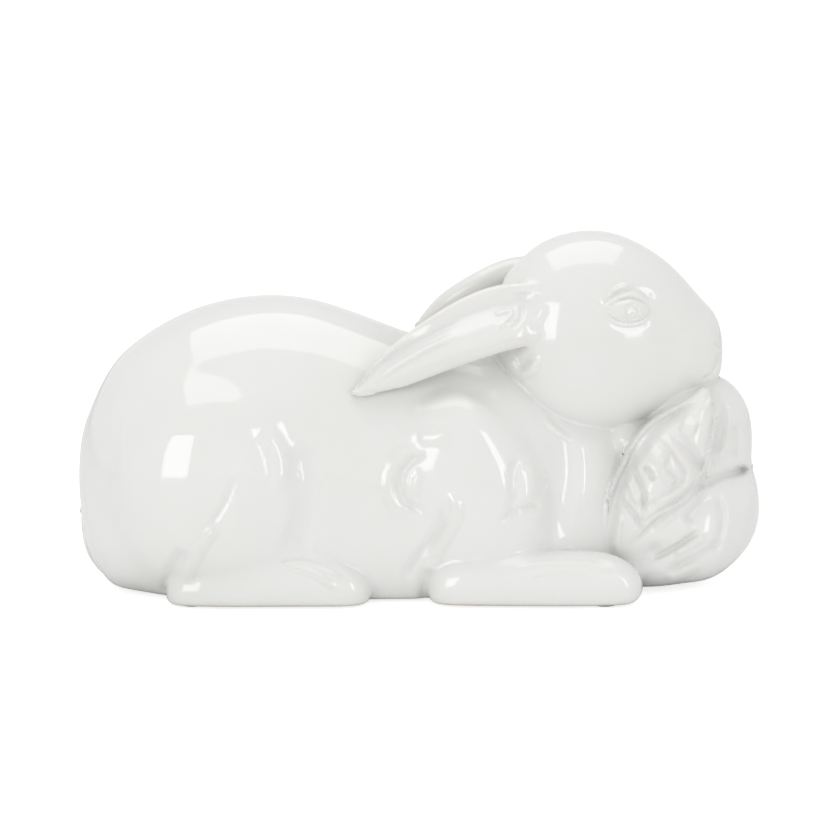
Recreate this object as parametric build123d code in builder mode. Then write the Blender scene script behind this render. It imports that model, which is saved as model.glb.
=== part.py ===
from build123d import *
from math import cos, pi, sin
import os

os.makedirs("parts", exist_ok=True)

# A glazed stoneware rabbit, lying down with its ears back and lettuce leaves under its chin.
# It faces +X, its right side faces -Y, and it stands on z = 0, centred under its own box.
# Thin slip castings and solid pressed parts are luted together, face to face, under one glaze.

# Driving dimensions in millimetres: body casting
body_length = 244
body_width = 114
back_height = 127
rump_x = -150
wall = 5.5

# Haunches and shoulders, raised on the body casting
haunch_length = 76
haunch_height = 80
haunch_thickness = 42
haunch_x = -128
haunch_spread = 44
haunch_rise = 12
shoulder_length = 64
shoulder_height = 80
shoulder_thickness = 34
shoulder_x = -9
shoulder_spread = 38
shoulder_rise = 10

# Head casting
head_length = 100
head_width = 67
head_height = 87
head_x = 33
chin_height = 69
eye_radius = 13
eye_height = 122
eye_x = 87
eye_spread = 19.2
neck_bore = 24
neck_x = 55

# Ears: the right one laid back on the shoulder, the left one held higher, along the spine
ear_breadth = 31.5
ear_thickness = 9
ear_lean = 42
ear_root_x = 60
ear_root_spread = 26.5
right_ear_length = 88
right_ear_swing = 19
right_ear_tip_height = 93
right_ear_root_height = 123.5
left_ear_length = 61
left_ear_swing = -3
left_ear_tip_height = 111
left_ear_root_height = 129

# Legs
hind_foot_length = 89
hind_foot_height = 23
hind_foot_width = 26
hind_foot_x = -109.5
hind_foot_spread = 47
foreleg_length = 93
foreleg_height = 22
foreleg_width = 27
foreleg_x = 3.5
foreleg_spread = 45.5

# Tail
tail_length = 22
tail_height = 38
tail_width = 38
tail_x = -149
tail_rise = 5

# Lettuce leaves
top_leaf_length = 49
top_leaf_height = 46
top_leaf_width = 46
top_leaf_x = 97.5
top_leaf_rise = 47
front_leaf_length = 64
front_leaf_height = 50
front_leaf_width = 70
front_leaf_x = 86
side_leaf_length = 50
side_leaf_height = 80
side_leaf_width = 38
side_leaf_x = 79
side_leaf_rise = 10
side_leaf_spread = 20

# Base plate and felt pads
base_thickness = 6
vent_bore = 20
vent_x = -40
pad_thickness = 1
pad_diameter = 11
heel_pad_x = -98
paw_pad_x = 80
pad_spread = 47

# Facets round each form
body_sides = 40
head_sides = 32
limb_sides = 16
leaf_sides = 24
hollow_sides = 20

# Rows of shares along each form: way along, underside, top and half-width, the last three of
# the form's height and half-width
body_shares = [
    (0.000, 0.34, 0.45, 0.14),
    (0.008, 0.24, 0.53, 0.33),
    (0.024, 0.13, 0.62, 0.54),
    (0.056, 0.02, 0.742, 0.75),
    (0.112, -0.02, 0.850, 0.91),
    (0.197, -0.07, 0.943, 0.99),
    (0.303, -0.11, 1.000, 1.00),
    (0.418, -0.12, 0.992, 0.96),
    (0.533, -0.12, 0.915, 0.93),
    (0.648, -0.10, 0.842, 0.91),
    (0.754, -0.08, 0.800, 0.86),
    (0.844, -0.07, 0.720, 0.73),
    (0.918, -0.06, 0.665, 0.60),
    (0.971, -0.03, 0.600, 0.43),
    (1.000, 0.06, 0.500, 0.20),
]
haunch_shares = [
    (0.00, 0.38, 0.56, 0.18),
    (0.07, 0.22, 0.72, 0.50),
    (0.22, 0.06, 0.90, 0.82),
    (0.48, 0.00, 1.00, 1.00),
    (0.72, 0.02, 0.93, 0.86),
    (0.90, 0.12, 0.74, 0.50),
    (1.00, 0.30, 0.52, 0.16),
]
shoulder_shares = [
    (0.00, 0.58, 0.74, 0.18),
    (0.07, 0.42, 0.86, 0.50),
    (0.24, 0.18, 0.98, 0.84),
    (0.46, 0.02, 1.00, 1.00),
    (0.68, 0.00, 0.88, 0.92),
    (0.88, 0.08, 0.68, 0.62),
    (1.00, 0.24, 0.46, 0.18),
]
head_shares = [
    (0.00, 0.42, 0.60, 0.20),
    (0.03, 0.28, 0.73, 0.48),
    (0.09, 0.15, 0.83, 0.70),
    (0.19, 0.05, 0.928, 0.90),
    (0.35, 0.00, 0.995, 1.00),
    (0.51, 0.00, 0.990, 0.955),
    (0.66, 0.055, 0.918, 0.82),
    (0.79, 0.125, 0.805, 0.66),
    (0.90, 0.195, 0.665, 0.50),
    (0.97, 0.240, 0.567, 0.36),
    (1.00, 0.310, 0.480, 0.18),
]
hind_foot_shares = [
    (0.00, 0.00, 0.34, 0.35),
    (0.04, -0.12, 0.58, 0.66),
    (0.14, -0.20, 0.72, 0.90),
    (0.35, -0.22, 0.84, 1.00),
    (0.58, -0.22, 1.00, 1.00),
    (0.80, -0.20, 0.90, 0.96),
    (0.93, -0.12, 0.64, 0.80),
    (1.00, 0.02, 0.30, 0.42),
]
foreleg_shares = [
    (0.00, 0.00, 0.40, 0.35),
    (0.05, -0.12, 0.72, 0.68),
    (0.18, -0.20, 0.94, 0.92),
    (0.45, -0.22, 1.00, 1.00),
    (0.70, -0.22, 1.00, 1.00),
    (0.86, -0.16, 0.92, 0.96),
    (0.96, 0.00, 0.66, 0.76),
    (1.00, 0.16, 0.38, 0.42),
]
tail_shares = [
    (0.00, 0.44, 0.72, 0.25),
    (0.08, 0.26, 0.90, 0.62),
    (0.30, 0.04, 1.00, 0.92),
    (0.60, 0.00, 1.00, 1.00),
    (1.00, 0.14, 0.86, 0.80),
]
top_leaf_shares = [
    (0.00, 0.40, 0.85, 0.70),
    (0.25, 0.10, 1.00, 0.95),
    (0.50, 0.00, 1.00, 1.00),
    (0.72, 0.02, 0.96, 0.86),
    (0.88, 0.06, 0.82, 0.64),
    (0.97, 0.14, 0.62, 0.38),
    (1.00, 0.26, 0.44, 0.16),
]
front_leaf_shares = [
    (0.00, 0.12, 0.36, 0.30),
    (0.08, 0.00, 0.54, 0.60),
    (0.25, 0.00, 0.72, 0.92),
    (0.48, 0.01, 0.92, 1.00),
    (0.67, 0.05, 1.00, 0.90),
    (0.82, 0.17, 1.01, 0.68),
    (0.95, 0.38, 0.96, 0.42),
    (1.00, 0.60, 0.84, 0.18),
]
side_leaf_shares = [
    (0.00, 0.18, 0.36, 0.20),
    (0.06, 0.08, 0.46, 0.50),
    (0.20, 0.02, 0.62, 0.82),
    (0.38, 0.06, 0.80, 1.00),
    (0.58, 0.16, 0.89, 0.98),
    (0.76, 0.28, 0.95, 0.86),
    (0.92, 0.46, 1.00, 0.60),
    (1.00, 0.62, 0.92, 0.26),
]
# The ear: way along from tip to root, then shares of its root spread, its swing outwards, its
# climb from tip to root, its breadth, its lean and its thickness
ear_shares = [
    (0.000, 1.00, 1.00, 0.00, 0.05, 0.85, 0.25),
    (0.020, 1.00, 0.98, 0.03, 0.17, 0.85, 0.40),
    (0.065, 1.00, 0.92, 0.12, 0.34, 0.87, 0.60),
    (0.190, 1.00, 0.68, 0.34, 0.67, 0.98, 0.86),
    (0.390, 1.00, 0.31, 0.63, 0.92, 1.00, 1.00),
    (0.590, 1.00, 0.06, 0.87, 1.00, 0.87, 1.00),
    (0.780, 0.96, 0.00, 1.00, 0.93, 0.77, 0.96),
    (0.900, 0.80, 0.00, 1.00, 0.80, 0.60, 0.80),
    (1.000, 0.58, 0.00, 0.97, 0.60, 0.50, 0.60),
]
# One section of the ear: shares of the way up from its lower edge and of its thickness outwards,
# with the inner ridge, the scoop and the rolled rim
ear_section_shares = [
    (0.00, 0.06),
    (0.07, 0.42),
    (0.24, 0.48),
    (0.42, 0.42),
    (0.49, 0.44),
    (0.58, 0.14),
    (0.72, 0.02),
    (0.82, 0.22),
    (0.87, 0.58),
    (0.94, 0.62),
    (1.00, 0.20),
    (0.92, -0.36),
    (0.66, -0.62),
    (0.30, -0.62),
    (0.08, -0.36),
]
# Waves round the leaves: how many, how deep as a share of the leaf, and turns along it
ruffle_waves = 6
ruffle_depth_share = 0.08
ruffle_turn_share = 1
body_middle_share = 0.40
head_middle_share = 0.44
form_middle_share = 0.46
crown_power = 2.3
keel_power = 2.6


def smooth_rows(rows):
    """The rows with one more between each two, on a smooth curve through them all."""
    finer = []
    for k in range(len(rows) - 1):
        before = rows[max(k - 1, 0)]
        after = rows[min(k + 2, len(rows) - 1)]
        finer.append(rows[k])
        finer.append(
            tuple((9 * (b + c) - a - d) / 16 for a, b, c, d in zip(before, rows[k], rows[k + 1], after))
        )
    finer.append(rows[-1])
    return finer


def ring_points(half_width, underside, middle, top, sides):
    """Corners of a rounded section whose edges touch it in the same directions at every station."""
    lines = []
    for k in range(sides):
        angle = 2 * pi * k / sides
        power = crown_power if sin(angle) >= 0 else keel_power
        reach = top - middle if sin(angle) >= 0 else middle - underside
        dual = power / (power - 1)
        touch = (abs(half_width * cos(angle)) ** dual + abs(reach * sin(angle)) ** dual) ** (1 / dual)
        lines.append((angle, touch))
    points = []
    for (angle, touch), (next_angle, next_touch) in zip(lines, lines[1:] + lines[:1]):
        y = (touch * sin(next_angle) - next_touch * sin(angle)) / sin(next_angle - angle)
        z = (next_touch * cos(angle) - touch * cos(next_angle)) / sin(next_angle - angle)
        points.append((y, middle + z))
    return points


def skin(rings, twisted=False):
    """A closed solid of flat facets between neighbouring rings, two to each cell if it is twisted."""
    faces = [Face(Wire.make_polygon(rings[0])), Face(Wire.make_polygon(rings[-1]))]
    for ring, following in zip(rings, rings[1:]):
        for k in range(len(ring)):
            corners = [ring[k - 1], ring[k], following[k], following[k - 1]]
            if twisted:
                faces.append(Face(Wire.make_polygon(corners[:3])))
                faces.append(Face(Wire.make_polygon(corners[2:] + corners[:1])))
            else:
                faces.append(Face(Wire.make_polygon(corners)))
    return Solid(Shell(faces))


def form_skin(shares, start_x, length, height, width, rise, sides, middle_share, centre=0, inset=0):
    """A rounded form along x, each ring drawn in by the inset where the form is a hollow."""
    return skin(form_rings(shares, start_x, length, height, width, rise, sides, middle_share, centre, inset))


def leaf_skin(shares, start_x, length, height, width, rise, centre=0):
    """A rounded form along x with a ruffled surface, waves that wind round it."""
    rings = form_rings(
        shares, start_x, length, height, width, rise, leaf_sides, form_middle_share, centre, 0
    )
    ruffled = []
    for ring in rings:
        x = ring[0][0]
        low = min(z for _, _, z in ring)
        middle = low + (max(z for _, _, z in ring) - low) * form_middle_share
        turned = []
        for k, (_, y, z) in enumerate(ring):
            phase = 2 * pi * (ruffle_waves * k / leaf_sides + ruffle_turn_share * (x - start_x) / length)
            draw = 1 - ruffle_depth_share * (1 + cos(phase)) / 2
            turned.append((x, centre + (y - centre) * draw, middle + (z - middle) * draw))
        ruffled.append(turned)
    return skin(ruffled, twisted=True)


def form_rings(shares, start_x, length, height, width, rise, sides, middle_share, centre, inset):
    """The rings of a rounded form from its rows of shares."""
    rings = []
    for along, underside, top, side in smooth_rows(shares):
        x = start_x + inset + along * (length - 2 * inset)
        low = rise + underside * height + (inset if underside >= 0 else 0)
        high = rise + top * height - inset
        half_width = side * width / 2 - inset
        if high - low > inset and half_width > inset / 2:
            middle = low + (high - low) * middle_share
            points = ring_points(half_width, low, middle, high, sides)
            rings.append([(x, centre + y, z) for y, z in points])
    return rings


def ear_skin(side, length, swing_out, tip_height, root_height):
    """One ear from its tip to its root, its sections leaning in over the back."""
    rings = []
    for along, spread, swing, climb, breadth, lean, thickness in smooth_rows(ear_shares):
        centre_y = spread * ear_root_spread + swing * swing_out
        centre_z = tip_height + climb * (root_height - tip_height)
        slant = lean * ear_lean * pi / 180
        ring = []
        for up, out in ear_section_shares:
            rise = (up - 1 / 2) * breadth * ear_breadth
            push = out * thickness * ear_thickness
            y = centre_y - rise * sin(slant) + push * cos(slant)
            z = centre_z + rise * cos(slant) + push * sin(slant)
            ring.append((ear_root_x - (1 - along) * length, side * y, z))
        rings.append(ring)
    return skin(rings, twisted=True)


# Outer form of the body: the torso, with haunches and shoulders raised on it
with BuildPart() as body_form:
    add(
        form_skin(
            body_shares, rump_x, body_length, back_height, body_width, 0, body_sides, body_middle_share
        )
    )
    for side in (-1, 1):
        add(
            form_skin(
                haunch_shares,
                haunch_x,
                haunch_length,
                haunch_height,
                haunch_thickness,
                haunch_rise,
                limb_sides,
                form_middle_share,
                side * haunch_spread,
            )
        )
        add(
            form_skin(
                shoulder_shares,
                shoulder_x,
                shoulder_length,
                shoulder_height,
                shoulder_thickness,
                shoulder_rise,
                limb_sides,
                form_middle_share,
                side * shoulder_spread,
            )
        )
    split(bisect_by=Plane.XY.offset(pad_thickness), keep=Keep.TOP)

# Hollow of the body, one wall inside the torso and open below
with BuildPart() as body_hollow:
    add(
        form_skin(
            body_shares,
            rump_x,
            body_length,
            back_height,
            body_width,
            0,
            hollow_sides,
            body_middle_share,
            inset=wall,
        )
    )

# Outer form of the head
with BuildPart() as head_form:
    add(
        form_skin(
            head_shares,
            head_x,
            head_length,
            head_height,
            head_width,
            chin_height,
            head_sides,
            head_middle_share,
        )
    )
    with Locations(*[(eye_x, side * eye_spread, eye_height) for side in (-1, 1)]):
        Sphere(eye_radius)

# Hollow of the head
with BuildPart() as head_hollow:
    add(
        form_skin(
            head_shares,
            head_x,
            head_length,
            head_height,
            head_width,
            chin_height,
            hollow_sides,
            head_middle_share,
            inset=wall,
        )
    )

# Body casting
with BuildPart() as body_shell:
    add(body_form.part)
    add(body_hollow.part, mode=Mode.SUBTRACT)
    with BuildSketch(Plane.XY.offset(back_height / 2)):
        with Locations((neck_x, 0)):
            Circle(neck_bore / 2)
    extrude(amount=back_height, mode=Mode.SUBTRACT)
body_shell.part.label = "body_shell"
export_step(body_shell.part, "parts/body_shell.step")

# Base plate, seated in the foot of the body, with its vent
with BuildPart() as base_plate:
    add(body_hollow.part)
    split(bisect_by=Plane.XY.offset(pad_thickness), keep=Keep.TOP)
    split(bisect_by=Plane.XY.offset(pad_thickness + base_thickness), keep=Keep.BOTTOM)
    with Locations((vent_x, 0, pad_thickness + base_thickness)):
        Hole(vent_bore / 2)
base_plate.part.label = "base_plate"
export_step(base_plate.part, "parts/base_plate.step")

# Head casting, open at the neck where it sits on the body
with BuildPart() as head_shell:
    add(head_form.part)
    add(head_hollow.part, mode=Mode.SUBTRACT)
    add(body_form.part, mode=Mode.SUBTRACT)
head_shell.part.label = "head_shell"
export_step(head_shell.part, "parts/head_shell.step")

# Legs: forearms with paws and hind feet, each luted to the body
leg_forms = {}
for hand, side in (("right", -1), ("left", 1)):
    with BuildPart() as foreleg:
        add(
            form_skin(
                foreleg_shares,
                foreleg_x,
                foreleg_length,
                foreleg_height,
                foreleg_width,
                pad_thickness,
                limb_sides,
                form_middle_share,
                side * foreleg_spread,
            )
        )
        split(bisect_by=Plane.XY.offset(pad_thickness), keep=Keep.TOP)
        add(body_form.part, mode=Mode.SUBTRACT)
    foreleg.part.label = "foreleg_" + hand
    export_step(foreleg.part, "parts/foreleg_" + hand + ".step")
    leg_forms[hand] = foreleg.part

    with BuildPart() as hind_foot:
        add(
            form_skin(
                hind_foot_shares,
                hind_foot_x,
                hind_foot_length,
                hind_foot_height,
                hind_foot_width,
                pad_thickness,
                limb_sides,
                form_middle_share,
                side * hind_foot_spread,
            )
        )
        split(bisect_by=Plane.XY.offset(pad_thickness), keep=Keep.TOP)
        add(body_form.part, mode=Mode.SUBTRACT)
    hind_foot.part.label = "hind_foot_" + hand
    export_step(hind_foot.part, "parts/hind_foot_" + hand + ".step")

# Ears, luted to the back of the head
ear_sizes = {
    "right": (-1, right_ear_length, right_ear_swing, right_ear_tip_height, right_ear_root_height),
    "left": (1, left_ear_length, left_ear_swing, left_ear_tip_height, left_ear_root_height),
}
for hand, sizes in ear_sizes.items():
    with BuildPart() as ear:
        add(ear_skin(*sizes))
        add(head_form.part, mode=Mode.SUBTRACT)
        add(body_form.part, mode=Mode.SUBTRACT)
    ear.part.label = "ear_" + hand
    export_step(ear.part, "parts/ear_" + hand + ".step")

# Tail
with BuildPart() as tail:
    add(
        form_skin(
            tail_shares,
            tail_x,
            tail_length,
            tail_height,
            tail_width,
            tail_rise,
            limb_sides,
            form_middle_share,
        )
    )
    add(body_form.part, mode=Mode.SUBTRACT)
tail.part.label = "tail"
export_step(tail.part, "parts/tail.step")

# Lettuce: one leaf at the mouth, one at the front and one on each side
with BuildPart() as leaf_top:
    add(
        leaf_skin(
            top_leaf_shares,
            top_leaf_x,
            top_leaf_length,
            top_leaf_height,
            top_leaf_width,
            top_leaf_rise,
        )
    )
    add(head_form.part, mode=Mode.SUBTRACT)
    add(body_form.part, mode=Mode.SUBTRACT)
leaf_top.part.label = "leaf_top"
export_step(leaf_top.part, "parts/leaf_top.step")

with BuildPart() as leaf_front:
    add(
        leaf_skin(
            front_leaf_shares,
            front_leaf_x,
            front_leaf_length,
            front_leaf_height,
            front_leaf_width,
            pad_thickness,
        )
    )
    add(body_form.part, mode=Mode.SUBTRACT)
    add(leaf_top.part, mode=Mode.SUBTRACT)
    for leg in leg_forms.values():
        add(leg, mode=Mode.SUBTRACT)
leaf_front.part.label = "leaf_front"
export_step(leaf_front.part, "parts/leaf_front.step")

for hand, side in (("right", -1), ("left", 1)):
    with BuildPart() as leaf_side:
        add(
            leaf_skin(
                side_leaf_shares,
                side_leaf_x,
                side_leaf_length,
                side_leaf_height,
                side_leaf_width,
                side_leaf_rise,
                side * side_leaf_spread,
            )
        )
        add(head_form.part, mode=Mode.SUBTRACT)
        add(body_form.part, mode=Mode.SUBTRACT)
        add(leaf_top.part, mode=Mode.SUBTRACT)
        add(leaf_front.part, mode=Mode.SUBTRACT)
        add(leg_forms[hand], mode=Mode.SUBTRACT)
    leaf_side.part.label = "leaf_" + hand
    export_step(leaf_side.part, "parts/leaf_" + hand + ".step")

# Felt pads under the heels and paws
with BuildPart() as felt_pads:
    with Locations(
        *[(x, side * pad_spread, pad_thickness / 2) for x in (heel_pad_x, paw_pad_x) for side in (-1, 1)]
    ):
        Cylinder(pad_diameter / 2, pad_thickness)
felt_pads.part.label = "felt_pads"
export_step(felt_pads.part, "parts/felt_pads.step")
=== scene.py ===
from math import cos, pi, radians, sin

import bmesh
import bpy
import numpy as np
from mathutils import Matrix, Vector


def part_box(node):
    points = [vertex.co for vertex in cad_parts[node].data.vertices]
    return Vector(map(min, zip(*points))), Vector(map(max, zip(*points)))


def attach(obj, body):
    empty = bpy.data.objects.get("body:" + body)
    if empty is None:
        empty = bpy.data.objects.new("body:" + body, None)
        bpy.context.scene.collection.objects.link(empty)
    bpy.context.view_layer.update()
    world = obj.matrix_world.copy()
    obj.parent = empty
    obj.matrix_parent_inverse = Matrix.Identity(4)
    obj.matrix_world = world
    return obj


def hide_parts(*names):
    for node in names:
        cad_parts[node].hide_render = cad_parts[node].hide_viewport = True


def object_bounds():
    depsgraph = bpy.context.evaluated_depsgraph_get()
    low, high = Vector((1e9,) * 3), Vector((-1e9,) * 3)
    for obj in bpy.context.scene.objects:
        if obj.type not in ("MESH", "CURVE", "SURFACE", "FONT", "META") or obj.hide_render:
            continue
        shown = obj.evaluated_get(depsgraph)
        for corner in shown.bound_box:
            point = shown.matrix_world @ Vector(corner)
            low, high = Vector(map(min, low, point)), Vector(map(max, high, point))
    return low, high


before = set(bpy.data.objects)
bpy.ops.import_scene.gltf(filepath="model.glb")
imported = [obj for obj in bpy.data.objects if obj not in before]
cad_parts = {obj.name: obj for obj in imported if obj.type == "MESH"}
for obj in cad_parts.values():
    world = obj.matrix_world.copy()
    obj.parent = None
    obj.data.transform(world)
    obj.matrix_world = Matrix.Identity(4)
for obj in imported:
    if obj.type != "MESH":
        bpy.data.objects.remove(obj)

import openvdb
from mathutils import Vector

# A white glazed rabbit, sculpted as one smooth surface and parted where its castings meet.
# All sculpting is in millimetres on the figure as drawn, 300 long; unit turns them into metres.

cad_low, cad_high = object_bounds()
drawn_length = 300
unit = (cad_high.x - cad_low.x) / drawn_length


def span(node):
    """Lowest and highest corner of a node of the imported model, in drawn millimetres."""
    low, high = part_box(node)
    return np.array(low) / unit, np.array(high) / unit


# Camera: the photograph's long lens, a little above the table, square to the figure's side.
# A pixel of it shows photo_pixel millimetres. The edge of the near feet lies ground_offset along
# the picture's upward axis and falls on ground_row.
camera_distance = 1900
camera_elevation = radians(10.5)
photo_width = 840
photo_centre_x = 419.5
photo_pixel = 0.4405
ground_row = 605
ground_offset = -10.4
aim_height = 67
sensor = 36
nearest_seen = 0.01
farthest_seen = 50

right = np.array([1, 0, 0])
up = np.array([0, sin(camera_elevation), cos(camera_elevation)])
back = np.array([0, -cos(camera_elevation), sin(camera_elevation)])
aim = np.array([0, 0, aim_height])


def photo_place(points):
    """Where points on the near side fall in the photograph, in its pixels."""
    from_aim = points - aim
    grow = camera_distance / (camera_distance - from_aim @ back) / photo_pixel
    column = photo_centre_x + (from_aim @ right) * grow
    row = ground_row - (from_aim @ up) * grow - (aim @ up - ground_offset) / photo_pixel
    return np.stack([column, row], 1)


def add_camera():
    """The camera that took the photograph."""
    data = bpy.data.cameras.new("camera")
    camera = bpy.data.objects.new("camera", data)
    bpy.context.scene.collection.objects.link(camera)
    aim_column, aim_row = photo_place(aim[None])[0]
    middle = photo_width / 2
    centre = aim + right * (middle - aim_column) * photo_pixel + up * (aim_row - middle) * photo_pixel
    data.sensor_width = sensor
    data.lens = sensor * camera_distance / (photo_width * photo_pixel)
    data.clip_start = nearest_seen
    data.clip_end = farthest_seen
    camera.location = Vector((centre + back * camera_distance) * unit)
    camera.rotation_mode = "QUATERNION"
    camera.rotation_quaternion = Vector(back).to_track_quat("Z", "Y")
    bpy.context.scene.camera = camera


add_camera()

# Helpers for smooth lines and fields. A field gives about the distance to a form's surface,
# below zero inside it.
far = 40
tiny = 1e-6


def spline(knots, values):
    """A smooth line through a few values, as a function."""
    knots = np.array(knots, float)
    values = np.array(values, float)
    gap = np.diff(knots)
    rise = np.diff(values) / gap
    matrix = np.eye(len(knots))
    target = np.zeros(len(knots))
    for k in range(1, len(knots) - 1):
        matrix[k, k - 1 : k + 2] = gap[k - 1], 2 * (gap[k - 1] + gap[k]), gap[k]
        target[k] = 6 * (rise[k] - rise[k - 1])
    bend = np.linalg.solve(matrix, target)

    def line(at):
        k = np.clip(np.searchsorted(knots, at) - 1, 0, len(gap) - 1)
        a = (knots[k + 1] - at) / gap[k]
        b = 1 - a
        cubic = (a**3 - a) * bend[k] + (b**3 - b) * bend[k + 1]
        return a * values[k] + b * values[k + 1] + cubic * gap[k] ** 2 / 6

    return line


def smooth_path(points, steps):
    """Points close together on a smooth curve through a few."""
    points = np.array(points, float)
    along = np.concatenate([[0], np.cumsum(np.linalg.norm(np.diff(points, axis=0), axis=1))])
    at = np.linspace(0, along[-1], steps)
    return np.stack([spline(along, column)(at) for column in points.T], 1)


def join(a, b, soft):
    """Two fields as one, with a fillet where they meet."""
    near = np.clip(1 - np.abs(a - b) / soft, 0, None)
    return np.minimum(a, b) - near**3 * soft / 6


def common(a, b, soft):
    """What lies in both fields, with its edge rounded."""
    return -join(-a, -b, soft)


# How finely a rounded form's axis is sampled, how many samples make each round end, how thin and
# how steep it gets at most, and how softly its distance is estimated
axis_samples = 1500
end_samples = 30
thinnest_half = 0.01
steepest_middle = 2
estimate_rounding = 0.4


def rounded_form(rows, low, high, middle_share, crown_power=2.3, keel_power=2.6, centre=0):
    """A form along x with rounded ends: rows of its way along, underside, top and half-width."""
    along, underside, top, side = np.array(rows).T
    for end, beside in ((0, 1), (-1, -2)):
        underside[end] = top[end] = underside[beside] + (top[beside] - underside[beside]) * middle_share
    turn = np.arccos(1 - 2 * along)
    fine = np.linspace(0, pi, axis_samples)
    size = high - low
    x = low[0] + (1 - np.cos(fine)) / 2 * size[0]
    floor = low[2] + spline(turn, underside)(fine) * size[2]
    roof = low[2] + spline(turn, top)(fine) * size[2]
    half = spline(turn, side)(fine) * size[1] / 2
    mid = floor + (roof - floor) * middle_share
    ends = ((0, end_samples, 1), (-1, len(fine) - end_samples - 1, -1))
    crown = (roof - mid) / np.maximum(half, thinnest_half)
    keel = (mid - floor) / np.maximum(half, thinnest_half)
    for end, first, way in ends:
        for line in (crown, keel, mid):
            line[end : first : way] = line[first]
    area = half**2
    grow = [abs(area[first] / (x[first] - x[end])) for end, first, way in ends]
    area = np.where(x < x[end_samples], (x - x[0]) * grow[0], area)
    area = np.where(x > x[-end_samples - 1], (x[-1] - x) * grow[1], area)
    rising = x + np.linspace(0, tiny, len(x))
    area_slope = np.gradient(area, rising)
    mid_slope = np.clip(np.gradient(mid, rising), -steepest_middle, steepest_middle)

    def field(p):
        at = np.clip(p[:, 0], x[0], x[-1])
        beyond = np.maximum(x[0] - p[:, 0], 0) * grow[0] + np.maximum(p[:, 0] - x[-1], 0) * grow[1]
        y = np.abs(p[:, 1] - centre)
        rise = p[:, 2] - np.interp(at, x, mid)
        over = rise > 0
        power = np.where(over, crown_power, keel_power)
        reach = np.where(over, np.interp(at, x, crown), np.interp(at, x, keel))
        up_share = np.abs(rise) / reach
        round_size = np.maximum((y**power + up_share**power) ** (1 / power), tiny)
        by_y = (y / round_size) ** (power - 1)
        by_z = (up_share / round_size) ** (power - 1) / reach
        by_x = -np.sign(rise) * by_z * np.interp(at, x, mid_slope)
        value = round_size**2 - np.interp(at, x, area) + beyond
        slope = (2 * round_size * by_x - np.interp(at, x, area_slope)) ** 2
        slope = np.sqrt(slope + 4 * round_size**2 * (by_y**2 + by_z**2))
        # the root's share is kept smoothly above zero, so that the field has no crease
        rest = slope**2 - 4 * value
        rest = (rest + np.sqrt(rest**2 + (estimate_rounding * slope**2) ** 2 + tiny)) / 2
        return 2 * value / (slope + np.sqrt(rest) + tiny)

    return field


def ellipsoid(centre, radii):
    """An ellipsoid with its radii along the axes."""
    centre = np.array(centre, float)
    radii = np.array(radii, float)

    def field(p):
        q = p - centre
        size_now = np.maximum(np.linalg.norm(q / radii, axis=1), tiny)
        return size_now * (size_now - 1) / np.linalg.norm(q / radii**2, axis=1)

    return field


# Main forms. A row is the way along a form from back to front, its underside and its top as
# shares of the height of its box, and its width as a share of the width of its box.
body_rows = [
    (0.000, 0.36, 0.36, 0.00),
    (0.008, 0.250, 0.530, 0.31),
    (0.024, 0.130, 0.620, 0.53),
    (0.056, 0.020, 0.742, 0.75),
    (0.112, -0.020, 0.850, 0.91),
    (0.197, -0.070, 0.943, 0.99),
    (0.303, -0.110, 0.996, 1.00),
    (0.418, -0.120, 0.988, 0.96),
    (0.533, -0.120, 0.915, 0.93),
    (0.648, -0.100, 0.842, 0.91),
    (0.754, -0.080, 0.800, 0.86),
    (0.844, -0.070, 0.720, 0.73),
    (0.918, -0.060, 0.665, 0.60),
    (0.971, -0.030, 0.600, 0.43),
    (1.000, 0.250, 0.250, 0.00),
]
haunch_rows = [
    (0.00, 0.46, 0.46, 0.00),
    (0.07, 0.22, 0.72, 0.50),
    (0.22, 0.06, 0.90, 0.82),
    (0.48, 0.00, 1.00, 1.00),
    (0.72, 0.02, 0.93, 0.86),
    (0.90, 0.12, 0.74, 0.50),
    (1.00, 0.41, 0.41, 0.00),
]
shoulder_rows = [
    (0.00, 0.66, 0.66, 0.00),
    (0.07, 0.42, 0.86, 0.50),
    (0.24, 0.18, 0.98, 0.84),
    (0.46, 0.02, 1.00, 1.00),
    (0.68, 0.00, 0.88, 0.92),
    (0.88, 0.08, 0.68, 0.62),
    (1.00, 0.35, 0.35, 0.00),
]
head_rows = [
    (0.000, 0.51, 0.51, 0.00),
    (0.030, 0.28, 0.73, 0.48),
    (0.090, 0.15, 0.83, 0.70),
    (0.190, 0.05, 0.928, 0.90),
    (0.350, 0.00, 0.995, 1.00),
    (0.510, 0.00, 0.990, 0.955),
    (0.660, 0.055, 0.918, 0.82),
    (0.790, 0.125, 0.805, 0.66),
    (0.900, 0.195, 0.665, 0.50),
    (0.970, 0.240, 0.567, 0.36),
    (1.000, 0.42, 0.42, 0.00),
]
hind_foot_rows = [
    (0.00, 0.16, 0.16, 0.00),
    (0.04, -0.12, 0.58, 0.66),
    (0.14, -0.20, 0.72, 0.90),
    (0.35, -0.22, 0.84, 1.00),
    (0.58, -0.22, 1.00, 1.00),
    (0.80, -0.20, 0.90, 0.96),
    (0.93, -0.12, 0.64, 0.80),
    (1.00, 0.16, 0.16, 0.00),
]
foreleg_rows = [
    (0.00, 0.20, 0.20, 0.00),
    (0.05, -0.12, 0.72, 0.68),
    (0.18, -0.20, 0.94, 0.92),
    (0.45, -0.22, 1.00, 1.00),
    (0.70, -0.22, 1.00, 1.00),
    (0.86, -0.16, 0.92, 0.96),
    (0.96, 0.00, 0.66, 0.76),
    (1.00, 0.26, 0.26, 0.00),
]
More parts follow.
